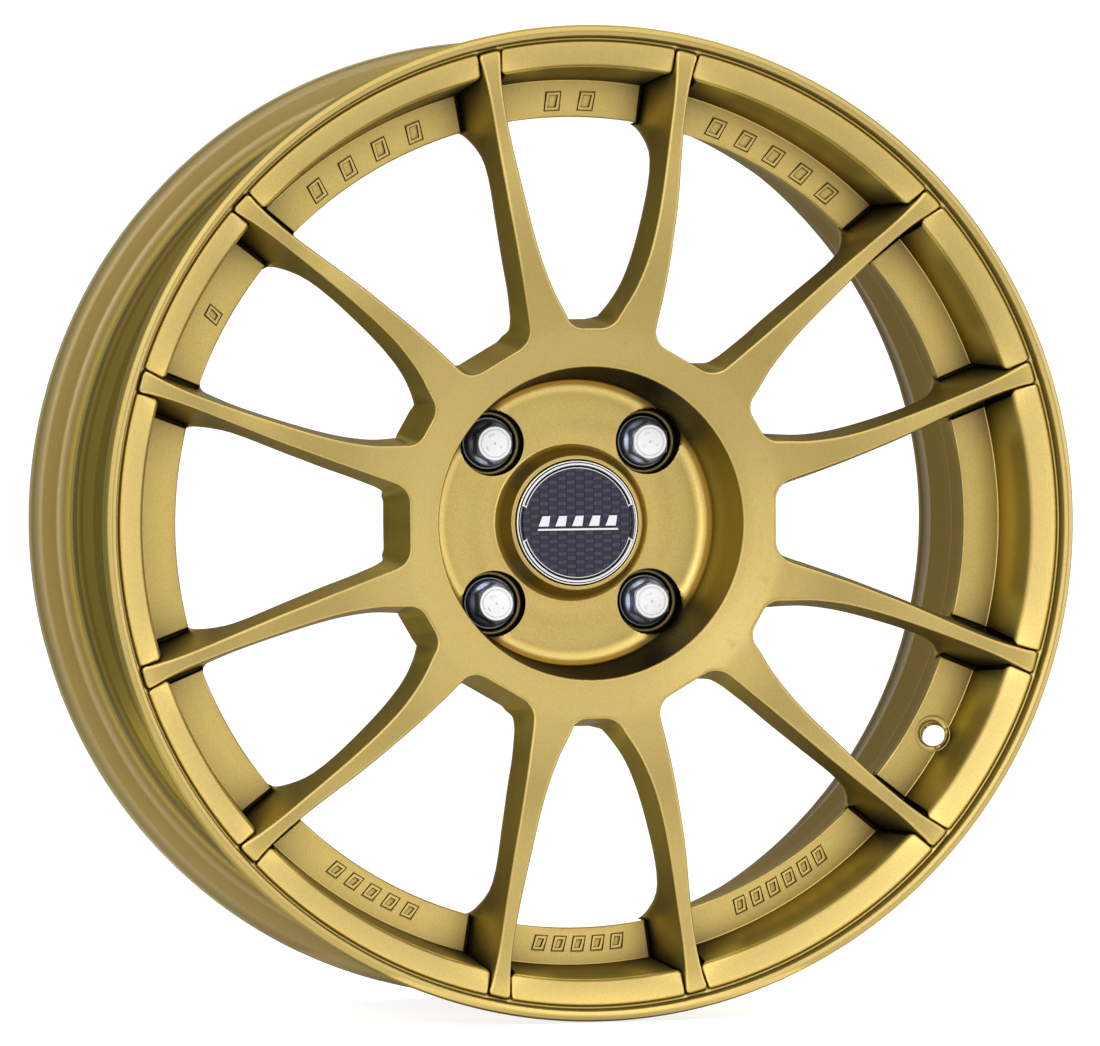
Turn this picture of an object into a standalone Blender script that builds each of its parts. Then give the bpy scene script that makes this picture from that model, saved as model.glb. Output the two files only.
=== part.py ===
"""Forged racing wheel rim: 17 x 7J, four bolts, twelve spokes in six pairs.

The wheel's axis is Y. Its outer face looks along -Y, +Z is up, and the origin is
the centre of the hub's mounting face. Profiles are written in millimetres as
(radius, depth), where depth 0 is the plane of the front lip's largest radius and
depth grows towards the car.
"""
import math

import bmesh
import bpy
from mathutils import Matrix, Vector

MM = 0.001
GAP = 0.35                      # air between two pieces that touch

# Driving dimensions, in millimetres
HUB_FACE_DEPTH = 75.2           # lip plane to mounting face: offset ET 25
LIP_RADIUS = 235.6              # 17 inch J flange
OVERALL_WIDTH = 200.4           # 7J: 178 between the flanges
BEAD_SEAT_RADIUS = 218.3
WELL_RADIUS = 201.0
LEDGE_RADIUS = 193.3
LEDGE_DEPTH = 43.0
RECESS_RADIUS = 74.1
HUB_FLOOR_DEPTH = 48.5
PAD_RADIUS = 70.0
CENTRE_BORE_RADIUS = 36.05
SPIGOT_RADIUS = 32.55
BOLT_CIRCLE_RADIUS = 54.0
BOLT_POCKET_RADIUS = 15.5
BOLT_SEAT_DEPTH = 57.5
BOLT_HOLE_RADIUS = 12.9
THREAD_HOLE_RADIUS = 7.5
SHANK_RADIUS = 5.85
CAP_RADIUS = 29.7
CAP_SEAT_RADIUS = 30.05
CAP_HOLE_RADIUS = 28.0
VALVE_HOLE_RADIUS = 5.65
VALVE_ANGLE = math.radians(329.0)
VALVE_RADIUS = 202.0
VALVE_LEAN = 24.0               # degrees outward, so that the hole leaves above the well
SPOKE_DRAFT = math.tan(math.radians(7.3))
SPOKE_MID_DEPTH = 16.0          # a spoke is widest here, and narrows again towards its back
FOOT_SOLE_DEPTH = LEDGE_DEPTH - 0.45    # a spoke's foot stands just clear of the ledge
FULL_TURN = 2 * math.pi
ROUND_SEGMENTS = 24
BOLT_SEGMENTS = 16
RIM_SEGMENTS = 48

# Half of one spoke pair: radius, centre line's distance from the pair's axis,
# width of the face, depth of the face, depth of the back
SPOKE_STATIONS = (
    (80.0, 22.5, 22.0, 7.5, 50.0),
    (88.5, 22.0, 27.0, 2.4, 43.5),
    (94.0, 20.6, 22.0, -0.2, 36.0),
    (99.0, 21.9, 18.2, -1.4, 30.0),
    (110.0, 26.0, 14.8, -4.0, 25.5),
    (130.0, 31.7, 10.6, -6.3, 22.5),
    (158.0, 37.4, 8.4, -4.3, 22.5),
    (180.0, 40.9, 7.1, -0.2, 30.0),
    (LEDGE_RADIUS - 0.6, 42.8, 6.7, 1.6, FOOT_SOLE_DEPTH),
    (204.0, 44.5, 6.6, 2.3, FOOT_SOLE_DEPTH),
    (209.4, 45.3, 6.7, 2.5, FOOT_SOLE_DEPTH),
    (216.4, 46.3, 7.6, 2.6, 11.0),
    (228.5, 48.3, 10.3, 2.2, 4.6),
)


def clear_scene():
    for old in list(bpy.data.objects):
        bpy.data.objects.remove(old, do_unlink=True)


def make_material(name, colour, roughness, metallic):
    material = bpy.data.materials.new(name)
    material.use_nodes = True
    shader = material.node_tree.nodes["Principled BSDF"]
    shader.inputs["Base Color"].default_value = (*colour, 1.0)
    shader.inputs["Roughness"].default_value = roughness
    shader.inputs["Metallic"].default_value = metallic
    return material


def place(radius, angle, depth):
    """A point in metres from its radius, angle round the axle and depth in millimetres."""
    return Vector((radius * math.cos(angle), depth - HUB_FACE_DEPTH, radius * math.sin(angle))) * MM


def face_outward(builder):
    bmesh.ops.recalc_face_normals(builder, faces=builder.faces)
    if builder.calc_volume(signed=True) < 0:
        bmesh.ops.reverse_faces(builder, faces=builder.faces)


def add_object(name, mesh_builder, material):
    """Turn the bmesh into an object, with outward faces and smooth shading."""
    face_outward(mesh_builder)
    mesh = bpy.data.meshes.new(name)
    mesh_builder.to_mesh(mesh)
    mesh_builder.free()
    mesh.materials.append(material)
    mesh.shade_smooth()
    mesh.set_sharp_from_angle(angle=math.radians(30))
    item = bpy.data.objects.new(name, mesh)
    bpy.context.collection.objects.link(item)
    return item


def turned(profile, segments, centre=(0.0, 0.0)):
    """A closed ring: the profile (radius, depth) swept round an axis parallel to Y.

    The centre is the axis's X and Z in millimetres. The profile is a closed loop.
    """
    builder = bmesh.new()
    shift = Vector((centre[0], 0.0, centre[1])) * MM
    rings = []
    for step in range(segments):
        angle = FULL_TURN * step / segments
        rings.append([builder.verts.new(place(r, angle, d) + shift) for r, d in profile])
    for step in range(segments):
        here, there = rings[step], rings[(step + 1) % segments]
        for i in range(len(profile)):
            j = (i + 1) % len(profile)
            builder.faces.new((here[i], here[j], there[j], there[i]))
    return builder


def turned_solid(profile, count, centre=(0.0, 0.0)):
    """A turned solid with flat ends, or with few sides a prism such as a bolt's hexagon."""
    builder = bmesh.new()
    shift = Vector((centre[0], 0.0, centre[1])) * MM
    rings = []
    for r, d in profile:
        rings.append([builder.verts.new(place(r, FULL_TURN * (k + 0.5) / count, d) + shift)
                      for k in range(count)])
    for lower, upper in zip(rings, rings[1:]):
        for k in range(count):
            m = (k + 1) % count
            builder.faces.new((lower[k], lower[m], upper[m], upper[k]))
    builder.faces.new(rings[0])
    builder.faces.new(rings[-1])
    return builder


def arc(centre, radius, start, end, steps):
    """Points on an arc, as (radius, depth), with angles in degrees from the radius axis."""
    points = []
    for k in range(steps + 1):
        angle = math.radians(start + (end - start) * k / steps)
        points.append((centre[0] + radius * math.cos(angle), centre[1] + radius * math.sin(angle)))
    return points


def flange_outline():
    """The J flange's tyre side, from its tip down to the bead seat."""
    return [(LIP_RADIUS, 0.0), (LIP_RADIUS - 0.6, 3.6), (LIP_RADIUS - 3.0, 7.6), (LIP_RADIUS - 7.0, 10.2),
            (LIP_RADIUS - 11.2, 11.2), (LIP_RADIUS - 14.8, 13.0), (BEAD_SEAT_RADIUS, 17.5)]


def barrel_profile():
    front_face = [(230.2, -2.1), (229.4, 4.6), (228.5, 4.8), (227.7, 2.4), (217.1, 6.6), (214.7, 9.2)]
    ledge = [(211.2, 37.0), (210.0, LEDGE_DEPTH - 1.2), (208.6, LEDGE_DEPTH), (LEDGE_RADIUS, LEDGE_DEPTH)]
    inside = [(194.2, 50.0), (197.0, 58.0), (197.5, 80.0), (204.0, 96.0), (205.0, 141.0), (208.0, 152.0),
              (213.6, 180.0), (215.2, 198.0)]
    rear_face = [(219.0, 202.4), (223.5, 203.8), (231.0, 203.8), (234.4, 202.8)]
    tyre_side_rear = [(216.9, 166.4), (218.1, 163.4), (215.5, 158.0), (212.0, 152.0), (209.0, 141.0),
                      (208.2, 98.0), (WELL_RADIUS, 84.0), (WELL_RADIUS, 56.5)]
    tyre_side_front = [(214.6, 45.0), (217.6, 40.5), (218.1, 37.4), (216.9, 34.0)]
    lip = [(LIP_RADIUS - 1.2, -2.4), (LIP_RADIUS - 3.2, -3.4)]
    rear_flange = [(r, OVERALL_WIDTH - d) for r, d in flange_outline()]
    front_flange = list(reversed(flange_outline()))
    return (front_face + ledge + inside + rear_face + rear_flange + tyre_side_rear + tyre_side_front
            + front_flange + lip)


def hub_profile():
    front = [(RECESS_RADIUS, 6.7), (80.0, 4.7), (86.0, 2.6), (90.0, 1.2)]
    back = [(90.6, 3.0), (89.6, 30.0), (87.0, 44.0), (79.0, 60.0), (72.0, 72.5), (PAD_RADIUS, HUB_FACE_DEPTH)]
    bore = [(CENTRE_BORE_RADIUS + 1.5, HUB_FACE_DEPTH), (CENTRE_BORE_RADIUS, HUB_FACE_DEPTH - 1.5),
            (CENTRE_BORE_RADIUS, 54.0), (31.0, 51.0), (CAP_HOLE_RADIUS, 50.0), (CAP_HOLE_RADIUS, 40.0),
            (CAP_SEAT_RADIUS, 40.0), (CAP_SEAT_RADIUS, 36.6)]
    boss = [(30.5, 36.1), (31.5, 36.1), (32.3, 36.9), (35.2, 45.4), (37.3, HUB_FLOOR_DEPTH)]
    recess = [(61.5, HUB_FLOOR_DEPTH)] + arc((61.5, 41.5), 7.0, 66, 8, 3)
    return front + back + bore + boss + recess


def spoke_section(station, side, grow):
    """Six points round a spoke at one station: face, widest line and back.

    Side is +1 or -1 for the two spokes of a pair, and grow moves the outline outward.
    """
    radius, centre, width, face, back = station
    mid = min(SPOKE_MID_DEPTH, face + 0.6 * (back - face))
    if back > LEDGE_DEPTH - 2 * GAP or radius > LEDGE_RADIUS:
        mid = back - 0.8
    wide = width + 2 * (mid - face) * SPOKE_DRAFT
    narrow = max(width, wide - 1.6 * (back - mid)) if radius < LEDGE_RADIUS - 1.0 else wide
    rows = ((width, face - 20 * (grow > 0)), (wide, mid), (narrow, back + grow))
    right = [(centre + w / 2 + grow, d) for w, d in rows]
    left = [(centre - w / 2 - grow, d) for w, d in reversed(rows)]
    return [(side * x, radius, d) for x, d in right + left]


def spoke_builder(pair_angle, side, stations, grow=0.0):
    """A lofted spoke along the stations, closed at both ends."""
    builder = bmesh.new()
    along = Vector((math.cos(pair_angle), 0.0, math.sin(pair_angle)))
    across = Vector((-math.sin(pair_angle), 0.0, math.cos(pair_angle)))
    loops = []
    for station in stations:
        loop = []
        for x, radius, depth in spoke_section(station, side, grow):
            height = math.sqrt(max(radius * radius - x * x, 0.0))
            point = (along * height + across * x) * MM
            point.y = (depth - HUB_FACE_DEPTH) * MM
            loop.append(builder.verts.new(point))
        loops.append(loop)
    for lower, upper in zip(loops, loops[1:]):
        for i in range(6):
            j = (i + 1) % 6
            builder.faces.new((lower[i], lower[j], upper[j], upper[i]))
    builder.faces.new(loops[0])
    builder.faces.new(loops[-1])
    bmesh.ops.triangulate(builder, faces=builder.faces)
    return builder


def add_cutter(name, builder, material):
    cutter = add_object(name, builder, material)
    cutter.hide_render = True
    cutter.display_type = 'WIRE'
    return cutter


def combine(target, other, operation):
    """Apply an exact Boolean to the target and drop the other object."""
    modifier = target.modifiers.new(operation.lower(), 'BOOLEAN')
    modifier.operation = operation
    modifier.solver = 'EXACT'
    modifier.object = other
    evaluated = target.evaluated_get(bpy.context.evaluated_depsgraph_get())
    mesh = bpy.data.meshes.new_from_object(evaluated)
    target.modifiers.clear()
    target.data = mesh
    bpy.data.objects.remove(other, do_unlink=True)


def join_cutters(name, builders, material):
    """One object holding several separate closed bodies."""
    whole = bmesh.new()
    for builder in builders:
        piece = bpy.data.meshes.new("piece")
        face_outward(builder)
        builder.to_mesh(piece)
        builder.free()
        whole.from_mesh(piece)
        bpy.data.meshes.remove(piece)
    return add_cutter(name, whole, material)


def pair_angles():
    return [math.radians(30 + 60 * k) for k in range(6)]


def bolt_centres():
    for k in range(4):
        angle = math.radians(45 + 90 * k)
        yield k + 1, (BOLT_CIRCLE_RADIUS * math.cos(angle), BOLT_CIRCLE_RADIUS * math.sin(angle))


def valve_cutter():
    """The valve hole runs through the ledge and the drop centre's slope, leaning outward."""
    builder = bmesh.new()
    bmesh.ops.create_cone(builder, cap_ends=True, segments=BOLT_SEGMENTS, radius1=VALVE_HOLE_RADIUS * MM,
                          radius2=VALVE_HOLE_RADIUS * MM, depth=60 * MM)
    builder.transform(Matrix.Rotation(math.radians(VALVE_LEAN - 90), 4, 'X'))
    builder.transform(Matrix.Translation(place(0.0, 0.0, LEDGE_DEPTH) + Vector((0.0, 0.0, VALVE_RADIUS * MM))))
    builder.transform(Matrix.Rotation(math.pi / 2 - VALVE_ANGLE, 4, 'Y'))
    return builder


def build_rim_barrel(gold):
    barrel = add_object("rim_barrel", turned(barrel_profile(), RIM_SEGMENTS), gold)
    feet = [station for station in SPOKE_STATIONS if station[0] > 200.0]
    feet[-1] = (feet[-1][0] + GAP, *feet[-1][1:])
    slots = [spoke_builder(angle, side, feet, GAP)
             for angle in pair_angles() for side in (1, -1)]
    combine(barrel, join_cutters("foot_slots", slots, gold), 'DIFFERENCE')
    combine(barrel, add_cutter("valve_drill", valve_cutter(), gold), 'DIFFERENCE')
    return barrel


def build_wheel_centre(gold):
    centre = add_object("wheel_centre", turned(hub_profile(), RIM_SEGMENTS), gold)
    for angle in pair_angles():
        for side in (1, -1):
            spoke = add_cutter("spoke", spoke_builder(angle, side, SPOKE_STATIONS), gold)
            combine(centre, spoke, 'UNION')
    drills = []
    for _, place_xz in bolt_centres():
        outline = [(BOLT_POCKET_RADIUS, 30.0), (BOLT_POCKET_RADIUS, BOLT_SEAT_DEPTH - 1.0),
                   (BOLT_POCKET_RADIUS - 1.0, BOLT_SEAT_DEPTH), (BOLT_HOLE_RADIUS, BOLT_SEAT_DEPTH),
                   (BOLT_HOLE_RADIUS, BOLT_SEAT_DEPTH + 9.2), (THREAD_HOLE_RADIUS, BOLT_SEAT_DEPTH + 9.2),
                   (THREAD_HOLE_RADIUS, HUB_FACE_DEPTH + 10)]
        drills.append(turned_solid(outline, BOLT_SEGMENTS, place_xz))
    combine(centre, join_cutters("bolt_drills", drills, gold), 'DIFFERENCE')
    return centre


def build_centring_ring(plastic):
    outer = CENTRE_BORE_RADIUS - GAP
    profile = [(SPIGOT_RADIUS, 62.0), (outer - 1.0, 62.0), (outer, 63.0), (outer, HUB_FACE_DEPTH - 2.2),
               (outer - 1.0, HUB_FACE_DEPTH - 0.4), (SPIGOT_RADIUS + 1.2, HUB_FACE_DEPTH - 0.4),
               (SPIGOT_RADIUS, HUB_FACE_DEPTH - 1.6)]
    return add_object("centring_ring", turned(profile, ROUND_SEGMENTS), plastic)


def build_bolt_seat(number, centre, steel):
    top = BOLT_SEAT_DEPTH + 0.2
    profile = [(7.4, top + 8.6), (BOLT_HOLE_RADIUS - GAP, top + 8.6), (BOLT_HOLE_RADIUS - GAP, top),
               (11.6, top), (7.4, top + 7.0)]
    return add_object(f"bolt_seat_{number}", turned(profile, BOLT_SEGMENTS, centre), steel)


def build_bolt_collar(number, centre, steel):
    top = BOLT_SEAT_DEPTH - 2.4
    profile = [(SHANK_RADIUS + 0.3, top), (10.9, top), (11.3, top + 0.5), (11.3, top + 2.2),
               (10.9, top + 2.6), (7.4, top + 8.2), (SHANK_RADIUS + 0.3, top + 8.2)]
    return add_object(f"bolt_collar_{number}", turned(profile, BOLT_SEGMENTS, centre), steel)


def build_wheel_bolt(number, centre, steel):
    """Hexagon head on a round flange, with the shank that screws into the car's hub."""
    flange_back = BOLT_SEAT_DEPTH - 2.4 - GAP
    flange_front = flange_back - 2.4
    head_top = 43.0
    across_flats = 17.0
    hex_radius = across_flats / 2 / math.cos(math.pi / 6)
    shank_end = HUB_FACE_DEPTH + 27.5
    bolt = add_object(f"wheel_bolt_{number}", turned_solid(
        [(SHANK_RADIUS - 1.2, shank_end), (SHANK_RADIUS, shank_end - 1.4), (SHANK_RADIUS, flange_back),
         (11.0, flange_back), (11.3, flange_back - 0.5), (9.8, flange_front), (7.0, flange_front)],
        BOLT_SEGMENTS, centre), steel)
    head = add_cutter("bolt_head", turned_solid(
        [(hex_radius, flange_front + 0.8), (hex_radius, head_top + 0.9), (hex_radius - 1.5, head_top)],
        6, centre), steel)
    combine(bolt, head, 'UNION')
    return bolt


def build_cap_body(plastic):
    """A shallow dish with a skirt of six clip fingers behind it."""
    inner, outer = 24.8, CAP_HOLE_RADIUS - 0.6
    profile = [(outer, 39.0), (outer, 52.0), (outer - 0.8, 53.4), (inner + 0.6, 53.4), (inner + 0.6, 52.2),
               (inner + 1.3, 51.6), (inner + 1.3, 49.8), (inner + 0.6, 49.2), (inner, 49.0), (inner, 39.0)]
    body = add_object("cap_body", turned(profile, ROUND_SEGMENTS), plastic)
    rim_inner = 28.95
    dish = add_cutter("cap_dish", turned_solid(
        [(rim_inner, 37.0), (rim_inner, 35.2), (29.3, 35.2), (CAP_RADIUS, 35.7), (CAP_RADIUS, 39.65)],
        ROUND_SEGMENTS), plastic)
    combine(body, dish, 'UNION')
    slots = []
    for k in range(6):
        builder = bmesh.new()
        bmesh.ops.create_cube(builder, size=1.0)
        bmesh.ops.scale(builder, vec=Vector((8.0, 12.0, 4.0)) * MM, verts=builder.verts)
        builder.transform(Matrix.Rotation(math.radians(60 * k), 4, 'Y') @ Matrix.Translation(
            Vector((26.0, 48.4 - HUB_FACE_DEPTH, 0.0)) * MM))
        slots.append(builder)
    combine(body, join_cutters("finger_slots", slots, plastic), 'DIFFERENCE')
    return body


def build_cap_spring_ring(steel):
    """The wire ring that sits in the fingers' inner groove."""
    wire, middle, depth = 0.75, 25.15, 50.7
    profile = [(middle + wire * math.cos(FULL_TURN * k / 8), depth + wire * math.sin(FULL_TURN * k / 8))
               for k in range(8)]
    return add_object("cap_spring_ring", turned(profile, ROUND_SEGMENTS), steel)


def build_cap_front(chrome, weave):
    ring = [(27.2, 35.0), (27.6, 34.5), (28.2, 34.5), (28.6, 35.0), (28.6, 36.7), (27.2, 36.7)]
    add_object("cap_trim_ring", turned(ring, ROUND_SEGMENTS), chrome)
    disc = [(26.9, 36.7), (26.9, 35.3), (26.6, 35.0)]
    add_object("cap_badge", turned_solid(disc, ROUND_SEGMENTS), weave)
    add_object("cap_emblem", comb_emblem(), chrome)


def comb_emblem():
    """A thin bar with five slanted teeth standing on it, laid flat on the cap's disc."""
    bar_half, foot, bar_top, tooth_top = 20.0, -3.6, -2.6, 3.4
    pitch, tooth_width, slant = 8.2, 5.2, 2.0
    outline = [(-bar_half, foot), (bar_half, foot), (bar_half, bar_top)]
    for k in reversed(range(5)):
        left = -bar_half + 0.6 + pitch * k
        outline += [(left + tooth_width, bar_top), (left + tooth_width + slant - 1.2, tooth_top),
                    (left + slant, tooth_top), (left, bar_top)]
    outline.append((-bar_half, bar_top))
    front, back = 34.2, 34.7
    builder = bmesh.new()
    layers = [[builder.verts.new(Vector((x, depth - HUB_FACE_DEPTH, z)) * MM) for x, z in outline]
              for depth in (front, back)]
    for layer in layers:
        builder.faces.new(layer)
    for i in range(len(outline)):
        j = (i + 1) % len(outline)
        builder.faces.new((layers[0][i], layers[0][j], layers[1][j], layers[1][i]))
    return builder


def main():
    clear_scene()
    gold = make_material("gold_paint", (0.52, 0.41, 0.16), 0.42, 0.75)
    dark_steel = make_material("dark_chrome", (0.12, 0.13, 0.17), 0.22, 1.0)
    steel = make_material("seat_steel", (0.45, 0.45, 0.46), 0.35, 1.0)
    chrome = make_material("chrome", (0.80, 0.81, 0.82), 0.08, 1.0)
    weave = make_material("dark_weave", (0.035, 0.037, 0.055), 0.35, 0.0)
    cap_plastic = make_material("cap_plastic", (0.03, 0.03, 0.035), 0.45, 0.0)
    ring_plastic = make_material("ring_plastic", (0.06, 0.06, 0.065), 0.55, 0.0)

    build_rim_barrel(gold)
    build_wheel_centre(gold)
    build_centring_ring(ring_plastic)
    for number, centre in bolt_centres():
        build_bolt_seat(number, centre, steel)
        build_bolt_collar(number, centre, dark_steel)
        build_wheel_bolt(number, centre, dark_steel)
    build_cap_body(cap_plastic)
    build_cap_spring_ring(steel)
    build_cap_front(chrome, weave)


main()
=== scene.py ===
"""Looks of the racing wheel rim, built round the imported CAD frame.

Shapes are written in millimetres as (radius, depth): radius from the axle, and depth from the
plane of the front lip's largest radius, growing towards the car. place() turns a radius, an
angle and a depth into a point of the frame, in metres. The spokes stand in six pairs, so a
twelfth of the wheel, from the middle of a pair to the middle between two pairs, is modelled
once and mirrored round.
"""
from math import asin, atan2, cos, hypot, pi, radians, sin, sqrt, tan

import bmesh
import bpy
from mathutils import Matrix, Vector


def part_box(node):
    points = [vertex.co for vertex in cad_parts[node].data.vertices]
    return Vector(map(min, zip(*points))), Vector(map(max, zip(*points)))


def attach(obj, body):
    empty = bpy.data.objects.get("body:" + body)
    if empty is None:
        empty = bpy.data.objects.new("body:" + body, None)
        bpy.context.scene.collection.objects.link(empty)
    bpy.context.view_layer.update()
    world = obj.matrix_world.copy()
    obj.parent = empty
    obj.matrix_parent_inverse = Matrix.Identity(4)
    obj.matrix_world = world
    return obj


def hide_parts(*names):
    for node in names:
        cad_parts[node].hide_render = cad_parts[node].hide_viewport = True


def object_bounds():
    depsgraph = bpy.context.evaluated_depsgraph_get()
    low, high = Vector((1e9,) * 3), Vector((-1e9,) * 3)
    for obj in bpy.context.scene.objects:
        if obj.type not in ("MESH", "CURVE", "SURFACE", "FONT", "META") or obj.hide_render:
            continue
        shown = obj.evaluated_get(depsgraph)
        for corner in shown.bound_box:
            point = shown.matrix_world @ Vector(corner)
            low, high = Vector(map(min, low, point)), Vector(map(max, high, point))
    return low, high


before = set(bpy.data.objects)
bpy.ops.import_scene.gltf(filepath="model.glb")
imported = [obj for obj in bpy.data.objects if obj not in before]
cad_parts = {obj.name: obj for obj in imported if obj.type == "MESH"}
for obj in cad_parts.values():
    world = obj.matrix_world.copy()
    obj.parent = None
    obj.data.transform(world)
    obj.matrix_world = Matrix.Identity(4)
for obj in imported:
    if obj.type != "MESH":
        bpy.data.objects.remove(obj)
cad_low, cad_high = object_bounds()

MM = 0.001
TURN = 2 * pi
PAIR = radians(60)  # angle between neighbouring spoke pairs
HALF_PAIR = radians(30)

# Driving dimensions from the frame, in millimetres
rim_low, rim_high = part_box("rim_barrel")
_, centre_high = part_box("wheel_centre")
LIP_RADIUS = rim_high.x / MM
LIP_FRONT = -3.4  # depth of the lip's front edge
HUB_FACE = centre_high.y / MM - rim_low.y / MM + LIP_FRONT  # depth of the mounting face
WIDTH = rim_high.y / MM + HUB_FACE + LIP_FRONT  # depth at which the rear flange mirrors the front one
BEAD_SEAT = 218.3
WELL = 201.0
LEDGE_RADIUS = 193.3
LEDGE_DEPTH = 43.0
BED_DEPTH = 47.0  # floor of the channels between ledge and spoke
RECESS_RADIUS = 74.1
FLOOR_DEPTH = 48.5
PAD_RADIUS = 70.0
CENTRE_BORE = 36.05
POCKET_RADIUS = 15.5
SEAT_DEPTH = 57.5
TIP_RADIUS = 228.2
DRAFT = tan(radians(7.3))
VALVE_ANGLE = radians(329.5)
VALVE_RADIUS = 205.3
VALVE_LEAN = radians(24)
TINY = 0.001  # radius of the middle point of a turned body's end
ROUND_STEPS = [radians(phi) for phi in (30, 60, 90)]  # angles that draw a rounded edge

# Along a spoke: radius, and the distances of its face's two edges from the pair's axis
SPOKE_EDGES = ((98.0, 12.0, 31.1), (104.0, 15.3, 32.2), (110.0, 18.6, 33.4), (120.0, 22.9, 35.2),
               (130.0, 26.4, 37.0), (144.0, 30.1, 39.3), (158.0, 33.1, 41.6), (180.0, 37.3, 44.5),
               (193.0, 39.5, 46.2), (204.0, 41.2, 47.8), (211.0, 42.0, 49.1), (217.0, 42.5, 50.4),
               (223.0, 42.7, 51.9), (226.4, 42.8, 53.0), (227.4, 43.2, 52.9), (TIP_RADIUS, 44.4, 52.0))
FACE_DEPTHS = ((70.0, 8.1), (74.1, 6.7), (80.0, 4.7), (86.0, 2.6), (93.0, 0.2), (99.0, -1.4),
               (110.0, -4.0), (120.0, -5.6), (130.0, -6.3), (144.0, -5.8), (158.0, -4.3), (180.0, -0.2),
               (193.0, 1.6), (204.0, 2.3), (216.0, 2.6), (TIP_RADIUS + 2, 2.2))
WIDEST_DEPTHS = ((85.0, 39.5), (92.5, 37.0), (98.0, 26.0), (105.0, 20.5), (120.0, 16.5), (158.0, 16.0),
                 (170.0, 18.0), (178.0, 22.0), (184.0, 29.5), (188.5, 38.5), (191.5, 45.5), (193.2, 47.2),
                 (211.6, 47.2), (213.6, 41.0), (217.4, 13.0), (219.4, 10.6), (TIP_RADIUS + 2, 7.4))
BACK_DEPTHS = ((85.0, 48.0), (92.5, 42.0), (98.0, 32.0), (105.0, 27.0), (120.0, 23.5), (158.0, 22.5),
               (170.0, 24.5), (178.0, 29.0), (184.0, 37.0), (188.5, 46.0), (191.5, 51.5), (193.2, 53.0),
               (198.0, 47.8), (211.6, 47.6), (213.8, 41.4), (217.6, 13.4), (219.6, 11.2),
               (TIP_RADIUS + 2, 7.8))


# ---------------- geometry helpers

def place(radius, angle, depth):
    return Vector((radius * cos(angle), depth - HUB_FACE, radius * sin(angle))) * MM


def depth_of(point):
    """The depth of a point of the frame."""
    return point.y / MM + HUB_FACE


def smooth_table(table, value, column=1):
    """A cubic curve through the table's points that never overshoots between them."""
    xs = [row[0] for row in table]
    ys = [row[column] for row in table]
    if value <= xs[0]:
        return ys[0]
    if value >= xs[-1]:
        return ys[-1]
    k = max(i for i in range(len(xs) - 1) if xs[i] <= value)
    steps = [(ys[i + 1] - ys[i]) / (xs[i + 1] - xs[i]) for i in range(len(xs) - 1)]

    def slope(i):
        if i == 0:
            return steps[0]
        if i == len(xs) - 1:
            return steps[-1]
        a, b = steps[i - 1], steps[i]
        return 0.0 if a * b <= 0 else 2 * a * b / (a + b)

    width = xs[k + 1] - xs[k]
    t = (value - xs[k]) / width
    return (ys[k] * (1 + 2 * t) * (1 - t) ** 2 + width * slope(k) * t * (1 - t) ** 2
            + ys[k + 1] * t * t * (3 - 2 * t) + width * slope(k + 1) * t * t * (t - 1))


def face_depth(radius):
    return smooth_table(FACE_DEPTHS, radius)


def rounded(corners, steps=4):
    """A profile through corners (radius, depth, fillet), each fillet drawn as steps + 1 points."""
    points = []
    for k, (x, y, fillet) in enumerate(corners):
        here = Vector((x, y))
        if fillet <= 0 or k in (0, len(corners) - 1):
            points.append((x, y))
            continue
        before = Vector(corners[k - 1][:2]) - here
        after = Vector(corners[k + 1][:2]) - here
        half = before.angle(after) / 2
        reach = min(fillet / tan(half), before.length * 0.49, after.length * 0.49)
        start, end = here + before.normalized() * reach, here + after.normalized() * reach
        middle = here + (before.normalized() + after.normalized()).normalized() * (reach / cos(half))
        first_arm = start - middle
        sweep = first_arm.angle_signed(end - middle)
        for j in range(steps + 1):
            arm = first_arm.copy()
            arm.rotate(Matrix.Rotation(-sweep * j / steps, 2))
            points.append(tuple(middle + arm))
    return points


def put(name, data):
    """A new object in the scene that holds the data."""
    item = bpy.data.objects.new(name, data)
    bpy.context.collection.objects.link(item)
    return item


SHARP = 42  # degrees between faces above which their edge stays sharp


def build(name, points, faces, material, sharp=SHARP):
    """A welded mesh object with outward faces and smooth shading."""
    mesh = bpy.data.meshes.new(name)
    mesh.from_pydata([tuple(p) for p in points], [], faces)
    builder = bmesh.new()
    builder.from_mesh(mesh)
    bmesh.ops.remove_doubles(builder, verts=builder.verts, dist=2e-6)
    bmesh.ops.recalc_face_normals(builder, faces=builder.faces)
    if builder.calc_volume(signed=True) < 0:
        bmesh.ops.reverse_faces(builder, faces=builder.faces)
    builder.to_mesh(mesh)
    builder.free()
    mesh.materials.append(material)
    return smooth(put(name, mesh), sharp)


def smooth(item, sharp):
    """Smooth shading that follows the large faces, so that small fillets don't bend their light."""
    item.data.shade_smooth()
    item.data.set_sharp_from_angle(angle=radians(sharp))
    if not item.modifiers:
        weighted = item.modifiers.new("weighted_normals", 'WEIGHTED_NORMAL')
        weighted.keep_sharp = True
        weighted.weight = 50
    return item


def grid_faces(rows, columns, first=0, close_rows=False, close_columns=False):
    """Quads over rows of points, the first of which has the number first."""
    faces = []
    for i in range(rows if close_rows else rows - 1):
        for j in range(columns if close_columns else columns - 1):
            a, b = first + i * columns, first + (i + 1) % rows * columns
            k = (j + 1) % columns
            faces.append((a + j, a + k, b + k, b + j))
    return faces


def prism_faces(rows, columns, first):
    """Faces of a closed body: quads round its rows, and the first and the last row as its ends."""
    last = first + (rows - 1) * columns
    ends = [tuple(range(start, start + columns)) for start in (first, last)]
    return grid_faces(rows, columns, first, close_columns=True) + ends


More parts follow.
